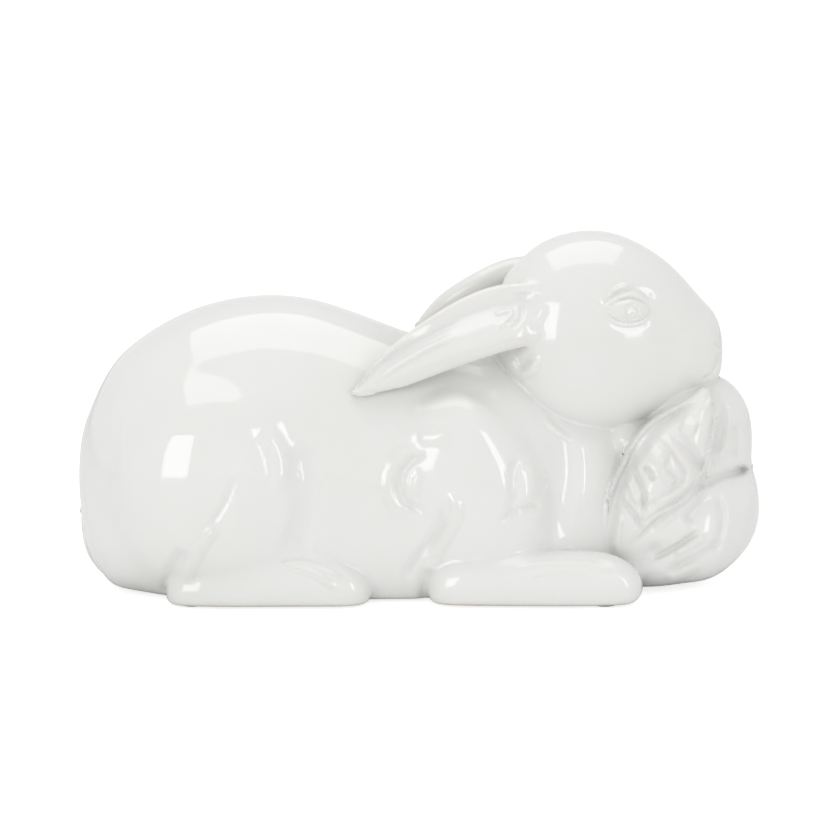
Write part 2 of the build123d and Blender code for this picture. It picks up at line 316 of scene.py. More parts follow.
top_leaf_rows = [
    (0.00, 0.60, 0.60, 0.00),
    (0.25, 0.10, 1.00, 0.95),
    (0.50, 0.00, 1.00, 1.00),
    (0.72, 0.02, 0.96, 0.86),
    (0.88, 0.06, 0.82, 0.64),
    (0.97, 0.14, 0.62, 0.38),
    (1.00, 0.35, 0.35, 0.00),
]
front_leaf_rows = [
    (0.00, 0.24, 0.24, 0.00),
    (0.08, 0.00, 0.54, 0.60),
    (0.25, 0.00, 0.72, 0.92),
    (0.48, 0.01, 0.92, 1.00),
    (0.67, 0.05, 1.00, 0.90),
    (0.82, 0.17, 1.01, 0.68),
    (0.95, 0.38, 0.96, 0.42),
    (1.00, 0.72, 0.72, 0.00),
]
side_leaf_rows = [
    (0.00, 0.27, 0.27, 0.00),
    (0.06, 0.08, 0.46, 0.50),
    (0.20, 0.02, 0.62, 0.82),
    (0.38, 0.06, 0.80, 1.00),
    (0.58, 0.16, 0.89, 0.98),
    (0.76, 0.28, 0.95, 0.86),
    (0.92, 0.46, 1.00, 0.60),
    (1.00, 0.77, 0.77, 0.00),
]
pad_thickness = 1
wall = 5.5


def corners(x0, x1, width, z0, z1):
    """Lowest and highest corner of a form's box, with the middle of its width at zero."""
    return np.array([x0, -width / 2, z0], float), np.array([x1, width / 2, z1], float)


torso = rounded_form(body_rows, *corners(-150, 94, 114, 0, 127), 0.40)
haunch = rounded_form(haunch_rows, *corners(-128, -52, 42, 12, 92), 0.46, centre=-44)
shoulder = rounded_form(shoulder_rows, *corners(-9, 55, 34, 10, 90), 0.46, centre=-38)
skull = rounded_form(head_rows, *corners(33, 133, 67, 69, 156), 0.44)
hind_foot = rounded_form(hind_foot_rows, *corners(-109.5, -20.5, 26, 1, 24), 0.46, centre=-47)
foreleg = rounded_form(foreleg_rows, *corners(3.5, 96.5, 27, 1, 23), 0.46, centre=-45.5)
tail = ellipsoid((-134.5, 0, 24), (14.2, 19, 19.5))
throat = ellipsoid((92, 0, 65), (13, 22, 14))
leaf_heart = ellipsoid((116, 0, 50), (27, 29, 17))
leaf_stem = ellipsoid((99, 0, 13), (22, 35, 13))
top_leaf = rounded_form(top_leaf_rows, *corners(97.5, 146.5, 46, 47, 93), 0.46)
front_leaf = rounded_form(front_leaf_rows, *corners(86, 150, 70, 1, 51), 0.46)
side_leaf = rounded_form(side_leaf_rows, *corners(79, 129, 38, 10, 90), 0.46, centre=-20)


# The ear: way along from tip to root, then shares of its root spread, its swing outwards, its
# climb from tip to root, its breadth, its lean and its thickness
ear_rows = [
    (0.000, 1.00, 1.00, 0.00, 0.08, 0.85, 0.30),
    (0.020, 1.00, 0.98, 0.03, 0.17, 0.85, 0.42),
    (0.065, 1.00, 0.92, 0.12, 0.34, 0.87, 0.60),
    (0.190, 1.00, 0.68, 0.34, 0.67, 0.98, 0.86),
    (0.390, 1.00, 0.31, 0.63, 0.92, 1.00, 1.00),
    (0.590, 1.00, 0.06, 0.87, 1.00, 0.87, 1.00),
    (0.780, 0.96, 0.00, 1.00, 0.93, 0.77, 0.96),
    (0.900, 0.80, 0.00, 1.00, 0.80, 0.60, 0.76),
    (1.000, 0.52, 0.00, 0.96, 0.56, 0.48, 0.36),
]
# Its outer face: way up from the lower edge, then height above the middle as a share of thickness
ear_face = [
    (0.00, 0.06),
    (0.06, 0.24),
    (0.16, 0.36),
    (0.30, 0.43),
    (0.42, 0.41),
    (0.52, 0.32),
    (0.62, 0.24),
    (0.71, 0.26),
    (0.79, 0.42),
    (0.87, 0.58),
    (0.94, 0.61),
    (1.00, 0.50),
]
ear_breadth = 31.5
ear_thickness = 9
ear_lean = radians(42)
ear_root_x = 63
ear_root_spread = 26.5
ear_back_share = -0.58
ear_face_step = 0.01


def ear_field(side, length, swing_out, tip_height, root_height):
    """One ear, a folded leaf of clay: a lower lobe, a ridge, a scoop and a rolled upper rim."""
    along, spread, swing, climb, breadth, lean, thickness = np.array(ear_rows).T
    centre_y = spline(along, spread * ear_root_spread + swing * swing_out)
    centre_z = spline(along, tip_height + climb * (root_height - tip_height))
    breadth = spline(along, breadth * ear_breadth)
    lean = spline(along, lean * ear_lean)
    thick = spline(along, thickness * ear_thickness)
    face = spline(*np.array(ear_face).T)

    def field(p):
        share = 1 - (ear_root_x - p[:, 0]) / length
        t = np.clip(share, 0, 1)
        beyond = np.abs(share - t) * length
        slant = lean(t)
        at_y = side * p[:, 1] - centre_y(t)
        at_z = p[:, 2] - centre_z(t)
        wide = breadth(t)
        deep = thick(t)
        rise = at_z * np.cos(slant) - at_y * np.sin(slant)
        out = at_y * np.cos(slant) + at_z * np.sin(slant)
        way = np.clip(rise / wide + 0.5, 0, 1)
        outer = face(way) * deep
        inner = ear_back_share * deep
        half = (outer - inner) / 2
        past = np.maximum(np.abs(rise) - wide / 2 + half, 0)
        size_now = np.sqrt((out - (outer + inner) / 2) ** 2 + past**2 + beyond**2)
        steep = (face(way + ear_face_step) - face(way - ear_face_step)) / (2 * ear_face_step)
        steep = steep * deep / wide
        return (size_now - half) / np.sqrt(1 + np.where(past > 0, 0, steep**2))

    return field


ear_right = ear_field(side=-1, length=91, swing_out=19, tip_height=93, root_height=123.5)
ear_left = ear_field(side=1, length=64, swing_out=-3, tip_height=111, root_height=129)


def boxed(field, low, high, margin=14):
    """The field where it matters, and a large distance elsewhere, so that it costs little."""
    low = np.array(low, float) - margin
    high = np.array(high, float) + margin

    def near(p):
        inside = np.all((p > low) & (p < high), axis=1)
        value = np.full(len(p), float(far))
        if inside.any():
            value[inside] = field(p[inside])
        return value

    return near


# The haunch swells softly out of the body, so it matters farther out
haunch = boxed(haunch, (-128, -65, 12), (-52, -23, 92), margin=24)
shoulder = boxed(shoulder, (-9, -55, 10), (55, -21, 90))
skull = boxed(skull, (33, -34, 69), (133, 34, 156))
hind_foot = boxed(hind_foot, (-110, -60, 0), (-20, -34, 24))
foreleg = boxed(foreleg, (3, -59, 0), (97, -32, 23))
tail = boxed(tail, (-149, -19, 5), (-120, 19, 43))
throat = boxed(throat, (79, -22, 51), (105, 22, 79))
leaf_heart = boxed(leaf_heart, (89, -29, 33), (143, 29, 67))
leaf_stem = boxed(leaf_stem, (77, -35, 0), (121, 35, 26))
top_leaf = boxed(top_leaf, (97, -23, 47), (147, 23, 93))
front_leaf = boxed(front_leaf, (86, -35, 0), (150, 35, 51))
side_leaf = boxed(side_leaf, (79, -39, 8), (129, -1, 90))
ear_right = boxed(ear_right, (-29, -52, 88), (66, -8, 142))
ear_left = boxed(ear_left, (-2, 2, 100), (66, 40, 148))


# Fine modelling, drawn on the photograph. A stroke runs along a smooth line through a few of its
# pixels and raises the surface, or sinks it: height in mm, reach to each side in pixels, points.
body_strokes = [
    # valley in front of the haunch, and the haunch's edge behind it
    (-1.9, 20, (296, 436), (305, 470), (306, 505), (298, 535), (286, 560)),
    (0.9, 13, (262, 428), (277, 448), (281, 475), (277, 500)),
    # crease down the thigh, the tendon above the heel and the hollow behind it
    (-0.8, 6, (236, 468), (231, 488), (223, 506), (206, 530), (190, 552)),
    (1.5, 10, (219, 520), (203, 541), (191, 565), (184, 592)),
    (-1.7, 10, (188, 546), (175, 562), (169, 580), (166, 596)),
    # elbow: a curved fold with a small lobe inside it
    (-1.3, 7, (431, 452), (412, 461), (402, 474), (402, 492), (412, 506), (428, 512)),
    (0.9, 8, (418, 446), (398, 458), (388, 478), (392, 502), (408, 518)),
    (0.7, 6, (421, 471), (415, 485), (419, 499)),
    # top of the forearm, and the fold that runs down from it to the belly
    (1.0, 12, (416, 436), (434, 436), (452, 432)),
    (1.3, 8, (446, 490), (457, 508), (450, 530), (438, 550), (430, 572)),
    (-1.2, 8, (436, 500), (441, 522), (425, 547), (412, 566), (402, 584)),
    (-1.8, 12, (430, 566), (427, 584), (426, 602)),
    # front of the shoulder
    (-0.9, 8, (520, 452), (513, 475), (514, 497), (505, 520)),
    (0.9, 12, (530, 462), (531, 486), (529, 504)),
    (-0.8, 5, (500, 524), (511, 513), (525, 507), (544, 506)),
    # valley down the chest, and the breast before it
    (-1.5, 22, (552, 424), (562, 455), (563, 485), (556, 520), (550, 545)),
    (0.8, 24, (588, 424), (591, 452), (590, 486), (584, 512)),
    (0.8, 5, (542, 414), (556, 430), (574, 441)),
]
head_strokes = [
    # socket and eye
    (-0.9, 12, (602, 310), (612, 299), (628, 293), (644, 296), (653, 308)),
    (-0.4, 7, (608, 318), (620, 325), (637, 326), (649, 317)),
    # upper lid and the fold over it
    (1.2, 4.2, (603, 314), (609, 304), (619, 297), (631, 294), (643, 298), (650, 306)),
    (1.0, 4.5, (604, 302), (612, 292), (622, 286.5), (634, 287)),
    # lower lid
    (0.4, 3, (607, 317), (617, 323), (630, 325), (642, 322), (651, 314)),
    # band behind the ear's root and the dimpled swelling under it
    (0.9, 9, (545, 303), (537, 318), (527, 338)),
    (1.5, 8, (513, 352), (512, 364), (521, 373), (532, 367), (534, 353)),
    (0.5, 7, (509, 384), (512, 392), (520, 397)),
    # nostril, the line below it and the mouth
    (-0.5, 3.5, (715, 342), (718, 347), (722, 349)),
    (-0.7, 3, (722, 350), (717, 357), (715, 367), (708, 376), (698, 380)),
    (-0.25, 14, (655, 300), (668, 322), (672, 350), (664, 378)),
    (0.3, 16, (690, 330), (697, 350), (692, 372)),
]
leaf_strokes = [
    # rim of the near leaf, standing against jaw and chest, and the groove inside it
    (1.2, 4.5, (714, 384), (683, 404), (653, 421), (639, 434), (623, 463), (612, 487), (606, 510),
        (604, 548)),
    (-1.4, 8, (706, 398), (680, 414), (656, 431), (641, 450), (629, 470), (619, 492), (613, 514),
        (611, 540)),
    (0.7, 4, (622, 514), (617, 532), (615, 552)),
    # the crumpled bulge: its rim, the fold outside it and the hollows within
    (1.8, 7, (652, 436), (668, 442), (680, 456), (689, 470), (688, 482), (676, 494), (660, 505),
        (642, 524)),
    (-1.6, 8, (668, 428), (686, 444), (699, 462), (701, 480), (690, 494), (670, 509), (652, 524),
        (636, 545)),
    (1.3, 10, (646, 447), (658, 457), (668, 463)),
    (-1.5, 5, (642, 466), (650, 473), (653, 483)),
    (-1.5, 5, (631, 464), (639, 480), (644, 496), (643, 514)),
    (-1.2, 4.5, (619, 495), (628, 507), (636, 518), (639, 530)),
    (1.0, 5, (627, 478), (633, 492), (638, 506)),
    (1.2, 7, (660, 470), (668, 478), (676, 484)),
    (1.0, 6, (650, 494), (648, 507), (640, 521)),
    # swelling under the crumples
    (1.5, 20, (648, 448), (657, 475), (647, 506)),
    # midrib
    (1.1, 3.5, (628, 545), (640, 532), (654, 518), (676, 505), (694, 492)),
    # folds of the lower leaf
    (1.4, 12, (650, 548), (671, 535), (692, 518)),
    (-1.3, 4.5, (650, 560), (670, 550), (686, 540), (702, 528)),
    (1.0, 6, (672, 556), (690, 546), (708, 534)),
    (-0.9, 6, (664, 572), (684, 562), (704, 552), (722, 538)),
    (0.9, 8, (664, 580), (684, 572), (702, 562)),
    (-0.8, 7, (716, 492), (722, 512), (720, 534), (712, 556)),
    # upper leaf: a bump, two ribs, and the notch between the lobes
    (1.3, 12, (680, 424), (688, 427), (697, 431)),
    (1.0, 3.5, (718, 408), (713, 437), (703, 470), (699, 482)),
    (0.7, 3.5, (712, 396), (706, 412)),
    (-0.9, 7, (724, 400), (722, 430), (714, 458)),
    (-1.8, 7, (752, 466), (736, 472), (716, 479), (700, 489)),
    (-0.7, 8, (733, 420), (737, 440), (733, 460)),
]
ear_strokes = [
    # inner ridge, the fold near the root, the line under the rim and the doubled edge at the tip
    (1.1, 4.5, (371, 387), (385, 374), (402, 362), (431, 346), (462, 332)),
    (-0.6, 5, (380, 366), (402, 351), (431, 335), (462, 321)),
    (0.9, 4, (494, 315), (503, 311), (515, 309)),
    (0.9, 4, (515, 309), (507, 319), (495, 329)),
    (-0.8, 5, (520, 303), (522, 315), (508, 330)),
    (0.6, 3, (512, 292), (528, 291), (546, 294)),
    (-0.5, 3, (355, 389), (374, 392), (402, 388)),
]
foreleg_strokes = [
    (0.6, 5, (512, 574), (526, 567), (560, 563), (598, 566), (622, 578)),
    (-0.5, 5, (520, 580), (560, 573), (600, 576)),
]
hind_foot_strokes = [
    (0.8, 5, (272, 564), (297, 568), (318, 576), (341, 592)),
    (-0.7, 6, (280, 556), (305, 560), (330, 568), (352, 584)),
]
# All strokes of the leaves are cut this much deeper than drawn
leaf_depth = 1.45
samples_per_point = 5


def prepared(strokes, gain=1):
    """Each stroke with its path in small steps and the box of pixels it touches."""
    ready = []
    for height, reach, *points in strokes:
        path = smooth_path(points, samples_per_point * len(points))
        ready.append((height * gain, reach, path, path.min(0) - reach, path.max(0) + reach))
    return ready


strokes = {
    "body": prepared(body_strokes),
    "head": prepared(head_strokes),
    "ear": prepared(ear_strokes),
    "leaf": prepared(leaf_strokes, leaf_depth),
    "foreleg": prepared(foreleg_strokes),
    "hind_foot": prepared(hind_foot_strokes),
}
# The share of its length over which each end of a stroke fades, and a gap no point is farther than
taper = 0.22
unreached = 1e3

# The eye: pixels of its centre and half-sizes, and its heights in millimetres
eye_centre = (629, 310.5)
eye_half_size = (21.5, 12.5)
eye_height = 1.7
eye_pinch = 0.3
eye_rim_steepness = 6
iris_centre = (632, 312)
iris_radius = 6.8
iris_depth = 0.45
iris_line = 1.9
pupil_centre = (633, 314.5)
pupil_radius = 2.8
pupil_depth = 0.4


def relief(kind, p):
    """How far the strokes of a casting raise its surface, at points of the near side."""
    place = photo_place(p)
    raised = np.zeros(len(p))
    for height, reach, path, low, high in strokes[kind]:
        near = np.flatnonzero(np.all((place > low) & (place < high), axis=1))
        if not len(near):
            continue
        spot = place[near]
        closest = np.full(len(near), unreached)
        along = np.zeros(len(near))
        for k, (a, b) in enumerate(zip(path[:-1], path[1:])):
            run = b - a
            share = np.clip((spot - a) @ run / (run @ run), 0, 1)
            gap = np.hypot(*(spot - a - share[:, None] * run).T)
            along = np.where(gap < closest, (k + share) / (len(path) - 1), along)
            closest = np.minimum(gap, closest)
        ends = np.clip(np.minimum(along, 1 - along) / taper, 0, 1)
        ends = ends * ends * (3 - 2 * ends)
        raised[near] += height * np.clip(1 - (closest / reach) ** 2, 0, 1) ** 2 * ends
    return raised


def eye_relief(p):
    """The eyeball, its iris ring and its pupil."""
    place = photo_place(p)
    across, down = ((place - eye_centre) / eye_half_size).T
    lens = np.clip(1 - across**2 - (np.abs(down) ** 2) * (1 + eye_pinch * np.abs(across)), 0, 1)
    ball = eye_height * np.sqrt(lens) * np.clip(lens * eye_rim_steepness, 0, 1)
    ring = np.abs(np.hypot(*(place - iris_centre).T) - iris_radius) / iris_line
    dot = np.hypot(*(place - pupil_centre).T) / pupil_radius
    marks = iris_depth * np.clip(1 - ring**2, 0, 1) + pupil_depth * np.clip(1 - dot**2, 0, 1)
    return ball - marks * (lens > 0)


# Strokes are worked out this close to a casting's surface, and fade over the last of it
relief_reach = 6
relief_fade = 2


def with_relief(kind, value, p):
    """A casting's field with its strokes, worked out only close to its surface."""
    near = np.flatnonzero(np.abs(value) < relief_reach)
    value = value.copy()
    if len(near):
        raised = relief(kind, p[near])
        if kind == "head":
            raised += eye_relief(p[near])
        value[near] -= raised * np.clip((relief_reach - np.abs(value[near])) / relief_fade, 0, 1)
    return value


# How softly the forms within one casting meet
haunch_softness = 20
shoulder_softness = 10
throat_softness = 8
leaf_softness = 8


def near_side(p):
    """The points carried over to the near side, which the far side mirrors."""
    m = p.copy()
    m[:, 1] = -np.abs(p[:, 1])
    return m


def castings(p):
    """The plain field of each casting by itself. A pair has one field for both sides."""
    m = near_side(p)
    body = join(join(torso(p), haunch(m), haunch_softness), shoulder(m), shoulder_softness)
    bunch = join(front_leaf(p), leaf_heart(p), leaf_softness)
    return {
        "body_shell": join(body, throat(p), throat_softness),
        "head_shell": skull(p),
        "ear_right": ear_right(p),
        "ear_left": ear_left(p),
        "foreleg": foreleg(m),
        "hind_foot": hind_foot(m),
        "tail": tail(p),
        "leaf_top": top_leaf(p),
        "leaf_front": join(bunch, leaf_stem(p), leaf_softness),
        "leaf": side_leaf(m),
    }


pairs = ("foreleg", "hind_foot", "leaf")
# The strokes that each casting carries
stroke_kinds = {
    "body_shell": "body",
    "head_shell": "head",
    "ear_right": "ear",
    "foreleg": "foreleg",
    "hind_foot": "hind_foot",
    "leaf_top": "leaf",
    "leaf_front": "leaf",
    "leaf": "leaf",
}
# How softly each casting meets those before it
softness = {
    "body_shell": 1,
    "head_shell": 3,
    "ear_right": 2,
    "ear_left": 2,
    "foreleg": 5,
    "hind_foot": 5,
    "tail": 10,
    "leaf_top": 2.5,
    "leaf_front": 9,
    "leaf": 4,
}
foot_rounding = 3.5
# The ears melt into the head at their roots
ear_root_softness = 7
ear_blend_x = 34
ear_blend_length = 24


def figure(p, parts=None):
    """The whole glazed surface, flat underneath."""
    parts = castings(p) if parts is None else parts
    m = near_side(p)
    whole = None
    for name, soft in softness.items():
        value = parts[name]
        if name in stroke_kinds:
            value = with_relief(stroke_kinds[name], value, p if name == "ear_right" else m)
        if name in ("ear_right", "ear_left"):
            soft = soft + ear_root_softness * np.clip((p[:, 0] - ear_blend_x) / ear_blend_length, 0, 1)
        whole = value if whole is None else join(whole, value, soft)
    return common(whole, pad_thickness - p[:, 2], foot_rounding)


# Neighbours overlap a little at their seam, so that no gap opens between them
seam_overlap = 0.2


def piece_fields(name, p):
    """The faces that bound one casting: the glazed surface, its seams and its hollow."""
    parts = castings(p)
    claims = {}
    for form, value in parts.items():
        if form in pairs:
            claims[form + "_right"] = value + 2 * np.maximum(p[:, 1], 0)
            claims[form + "_left"] = value + 2 * np.maximum(-p[:, 1], 0)
        else:
            claims[form] = value
    others = np.min([claims[n] for n in claims if n != name], axis=0)
    faces = [figure(p, parts), (claims[name] - others) / 2 - seam_overlap]
    if name in ("body_shell", "head_shell"):
        hollow = np.minimum(torso(p) + wall, skull(p) + wall)
        faces.append(-hollow)
    return np.array(faces)


# The grid: fine steps in a coarse cell, the coarse cells from the surface within which fine values
# are worked out, the fine steps at which they are held, and the points worked out at a time
coarse = 4
search_reach = 2.1
held_steps = 3
batch = 400000


def surface_mesh(fields, low, high, step):
    """Vertices and quads of the surface round the region where all fields are below zero."""
    cell = step * coarse
    limit = step * held_steps
    counts = np.ceil((np.array(high) - low) / cell).astype(int) + 1
    cells = np.stack(np.meshgrid(*[np.arange(n) for n in counts], indexing="ij"), -1).reshape(-1, 3)
    value = fields(low + (cells + 0.5) * cell).max(0)
    active = cells[np.abs(value) < cell * search_reach]
    deep = cells[value <= -cell * search_reach]
    block = np.stack(np.meshgrid(*[np.arange(coarse + 1)] * 3, indexing="ij"), -1).reshape(-1, 3)
    shape = counts * coarse + 1
    dense = np.full(shape, limit, np.float32)
    # cells deep inside are below zero throughout
    if len(deep):
        spots = (deep[:, None] * coarse + block[None]).reshape(-1, 3)
        dense[tuple(spots.T)] = -limit
    spots = (active[:, None] * coarse + block[None]).reshape(-1, 3)
    once = np.unique(np.ravel_multi_index(spots.T, shape))
    spots = np.stack(np.unravel_index(once, shape), 1)
    for part in np.array_split(np.arange(len(spots)), max(1, len(spots) // batch)):
        here = spots[part]
        dense[tuple(here.T)] = np.clip(fields(low + here * step).max(0), -limit, limit)
    grid = openvdb.FloatGrid(limit)
    grid.copyFromArray(dense)
    points, quads = grid.convertToQuads(isovalue=0)
    return low + points.astype(float) * step, quads.astype(int)


# How far to each side a gradient is measured
slope_step = 0.15


def slope_of(fields, p):
    """Each field's value and its gradient at the points."""
    value = fields(p)
    grad = np.zeros((*value.shape, 3))
    for axis in range(3):
        shifted = p.copy()
        shifted[:, axis] += slope_step
        ahead = fields(shifted)
        shifted[:, axis] -= 2 * slope_step
        grad[..., axis] = (ahead - fields(shifted)) / (2 * slope_step)
    return value, grad


# A face within edge_share of a step of the outermost one also pulls on a vertex, at an edge
settle_rounds = 2
edge_share = 0.6
least_slope = 0.05
no_length = 1e-9


def settle(fields, p, step):
    """Moves vertices onto the faces that bound the piece, and those by an edge onto both."""
    for _ in range(settle_rounds):
        value, grad = slope_of(fields, p)
        top = value.max(0)
        for k in range(len(value)):
            on = value[k] > top - step * edge_share
            size = np.maximum((grad[k] ** 2).sum(1), least_slope)
            move = np.where(on, value[k] / size, 0)[:, None] * grad[k]
            length = np.linalg.norm(move, axis=1)
            move *= (np.minimum(length, step) / np.maximum(length, no_length))[:, None]
            p = p - move
    return p


# How far around a point its curvature is measured, and what counts as full curvature
crease_step = 2
crease_range = 0.4


def edge_of(points):
    """How sharply the glazed surface turns: above zero on edges, below zero in creases."""
    total = -6 * figure(points)
    for axis in range(3):
        for way in (-crease_step, crease_step):
            shifted = points.copy()
            shifted[:, axis] += way
            total += figure(shifted)
    return np.clip(total / crease_step**2 / crease_range, -1, 1)


def build_piece(name, points, quads, normals, edge):
    """The mesh of a casting as a glazed piece, in place of its node."""
    mesh = bpy.data.meshes.new(name + "_glazed")
    mesh.from_pydata(points * unit, [], quads.tolist())
    mesh.shade_smooth()
    mesh.normals_split_custom_set(normals)
    mesh.attributes.new("edge", "FLOAT", "POINT").data.foreach_set("value", edge)
    piece = bpy.data.objects.new(name + "_glazed", mesh)
    bpy.context.scene.collection.objects.link(piece)
    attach(piece, "root")
    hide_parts(name)
    return piece


# A corner whose normal agrees less than this with its face's own takes the face's
least_agreement = 0.3


def sculpt(name, low, high, step):
    """Points, quads, corner normals and edge values of one casting."""

    def fields(p):
        return piece_fields(name, p)

    points, quads = surface_mesh(fields, np.array(low, float), np.array(high, float), step)
    points = settle(fields, points, step)
    owner = fields(points[quads].mean(1)).argmax(0)
    value, grad = slope_of(fields, points)
    normals = grad / np.maximum(np.linalg.norm(grad, axis=2), no_length)[..., None]
    edge = np.zeros(len(points))
    glazed = value.argmax(0) == 0
    edge[glazed] = edge_of(points[glazed])
    corner = normals[np.repeat(owner, 4), quads.ravel()]
    one, two, three, four = points[quads].transpose(1, 0, 2)
    face = np.cross(three - one, four - two)
    face /= np.maximum(np.linalg.norm(face, axis=1), no_length)[:, None]
    face = np.repeat(face, 4, axis=0)
    agree = (corner * face).sum(1)
    corner = np.where((agree < least_agreement)[:, None], face, corner)
    return points, quads, corner, edge


# How far past its node's box a casting may reach, with its fillets
margin = 25
# The size of each casting's mesh
steps = {
    "body_shell": 1.25,
    "head_shell": 0.76,
    "ear_right": 0.75,
    "ear_left": 0.75,
    "foreleg_right": 0.85,
    "hind_foot_right": 0.85,
    "tail": 0.85,
    "leaf_top": 0.85,
    "leaf_front": 0.85,
    "leaf_right": 0.85,
}
pieces = {}
coarser = 1
flip = np.array([1, -1, 1])
for name, step in steps.items():
    low, high = span(name)
    points, quads, normals, edge = sculpt(name, low - margin, high + margin, step * coarser)
    pieces[name] = build_piece(name, points, quads, normals, edge)
    if name.removesuffix("_right") in pairs:
        other = name.replace("_right", "_left")
        normals = normals.reshape(-1, 4, 3)[:, ::-1].reshape(-1, 3) * flip
        pieces[other] = build_piece(other, points * flip, quads[:, ::-1], normals, edge)


# Felt dots: short brown felt with soft edges, under heels and paws
felt_radius = 5.4
felt_rings = 7
felt_sides = 48
felt_fray = 0.12
felt_inset = 0.1
felt_rounding = 0.4


def felt_dot(shape, x, y):
    """One dot, its rim rounded and a little frayed."""
    rings = []
    for k in range(felt_rings + 1):
        turn = pi * k / felt_rings
        height = pad_thickness * (1 - cos(turn)) / 2
        ring = []
        for n in range(felt_sides):
            around = 2 * pi * n / felt_sides
            fray = felt_fray * (sin(7 * around + x) + sin(13 * around + y) + sin(29 * around)) / 3
            size = felt_radius - (1 - sin(turn)) * pad_thickness * felt_rounding + fray
            spot = Vector((x + size * cos(around), y + size * sin(around), height))
            ring.append(shape.verts.new(spot * unit))
        rings.append(ring)
    for under, over in zip(rings[:-1], rings[1:]):
        for n in range(felt_sides):
            after = (n + 1) % felt_sides
            shape.faces.new((under[n], under[after], over[after], over[n]))
    for ring, height, way in ((rings[0], 0, -1), (rings[-1], pad_thickness, 1)):
        centre = shape.verts.new(Vector((x, y, height)) * unit)
        for n in range(felt_sides):
            after = (n + 1) % felt_sides
            corner = (ring[n], ring[after], centre)
            shape.faces.new(corner[::way])


def felt_dots():
    """The four dots as one piece, in place of their node."""
    low, high = span("felt_pads")
    shape = bmesh.new()
    for x in (low[0] + felt_radius + felt_inset, high[0] - felt_radius - felt_inset):
        for y in (low[1] + felt_radius + felt_inset, high[1] - felt_radius - felt_inset):
            felt_dot(shape, x, y)
    mesh = bpy.data.meshes.new("felt_dots")
    shape.to_mesh(mesh)
    shape.free()
    mesh.shade_smooth()
    piece = bpy.data.objects.new("felt_dots", mesh)
    bpy.context.scene.collection.objects.link(piece)
    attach(piece, "root")
    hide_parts("felt_pads")
    return piece


felt = felt_dots()


# Materials
def new_material(name):
    """A material with its shader, and short ways to add nodes and links to it."""
    material = bpy.data.materials.new(name)
    material.use_nodes = True
    nodes = material.node_tree.nodes
    links = material.node_tree.links

    def add(kind, inputs=(), **settings):
        node = nodes.new("ShaderNode" + kind)
        for key, value in settings.items():
            setattr(node, key, value)
        for key, value in dict(inputs).items():
            if isinstance(value, bpy.types.NodeSocket):
                links.new(value, node.inputs[key])
            else:
                node.inputs[key].default_value = value
        return node

    return material, nodes["Principled BSDF"], add, links.new


def noise(add, place, scale, detail=2.0):
    """A cloudy value from 0 to 1 in space."""
    return add("TexNoise", {"Vector": place, "Scale": scale, "Detail": detail}).outputs["Fac"]


def between(add, value, low, high, to_low=0.0, to_high=1.0):
    """A value from one range carried into another, and held there."""
    inputs = {"Value": value, "From Min": low, "From Max": high, "To Min": to_low, "To Max": to_high}
    return add("MapRange", inputs).outputs["Result"]


def blend(add, share, first, second):
    """Two colours mixed by a share."""
    node = add("Mix", data_type="RGBA")
    link = node.id_data.links.new
    for socket, value in ((0, share), (6, first), (7, second)):
        if isinstance(value, bpy.types.NodeSocket):
            link(value, node.inputs[socket])
        else:
            node.inputs[socket].default_value = (*value, 1)
    return node.outputs[2]


def product(add, first, second):
    """Two values multiplied."""
    return add("Math", {0: first, 1: second}, operation="MULTIPLY").outputs[0]


glaze_index = 1.6
glaze_dim = (0.800, 0.800, 0.780)
glaze_bright = (0.830, 0.830, 0.815)
glaze_thin = (0.80, 0.76, 0.70)
# The cooler, darker colour in creases: glaze pooling there, and painted shade where creases fall into
# shadow
glaze_pooled_shade = (0.755, 0.770, 0.765)
foot_colour = (0.74, 0.69, 0.63)
foot_roughness = 0.7
bare_height = 0.0017
bare_blend = 0.0005
bare_wobble = 0.0012


def glaze_material():
    """Off-white glaze: cloudy, cooler and darker in creases (glaze pooling there, and painted shade),
    thin and warm on edges, wiped off at the foot.
    """
    material, shader, add, link = new_material("white_glaze")
    place = add("TexCoord").outputs["Object"]
    edge = add("Attribute", attribute_name="edge").outputs["Fac"]
    cloud = between(add, noise(add, place, scale=13, detail=3), low=0.35, high=0.68)
    colour = blend(add, cloud, glaze_dim, glaze_bright)
    thin = between(add, edge, low=0.25, high=1, to_low=0, to_high=0.45)
    thin = product(add, thin, noise(add, place, scale=60, detail=3))
    colour = blend(add, thin, colour, glaze_thin)
    # Creases are blended towards the cooler, darker colour: glaze pooling, and painted shade in the
    # hollows
    crease_pool_shade = between(add, edge, low=-0.15, high=-0.9, to_low=0, to_high=0.5)
    colour = blend(add, crease_pool_shade, colour, glaze_pooled_shade)
    height = add("SeparateXYZ", {0: place}).outputs["Z"]
    wobble = product(add, noise(add, place, scale=45), bare_wobble)
    height = add("Math", {0: height, 1: wobble}, operation="SUBTRACT").outputs[0]
    bare = between(add, height, low=bare_height, high=bare_height - bare_blend)
    colour = blend(add, bare, colour, foot_colour)
    link(colour, shader.inputs["Base Color"])
    gloss = between(add, noise(add, place, scale=34), low=0.3, high=0.7, to_low=0.045, to_high=0.085)
    rough = add("Mix", {0: bare, 2: gloss, 3: foot_roughness}, data_type="FLOAT").outputs[0]
    link(rough, shader.inputs["Roughness"])
    shader.inputs["IOR"].default_value = glaze_index
    flow = noise(add, place, scale=48)
    flow = add("Bump", {"Height": flow, "Distance": 0.0006, "Strength": 0.35}).outputs[0]
    peel = noise(add, place, scale=420)
    peel = add("Bump", {"Height": peel, "Distance": 0.00003, "Strength": 0.4, "Normal": flow})
    link(peel.outputs[0], shader.inputs["Normal"])
    return material


clay_dark = (0.66, 0.575, 0.48)
clay_pale = (0.77, 0.70, 0.61)
clay_iron = (0.40, 0.29, 0.20)


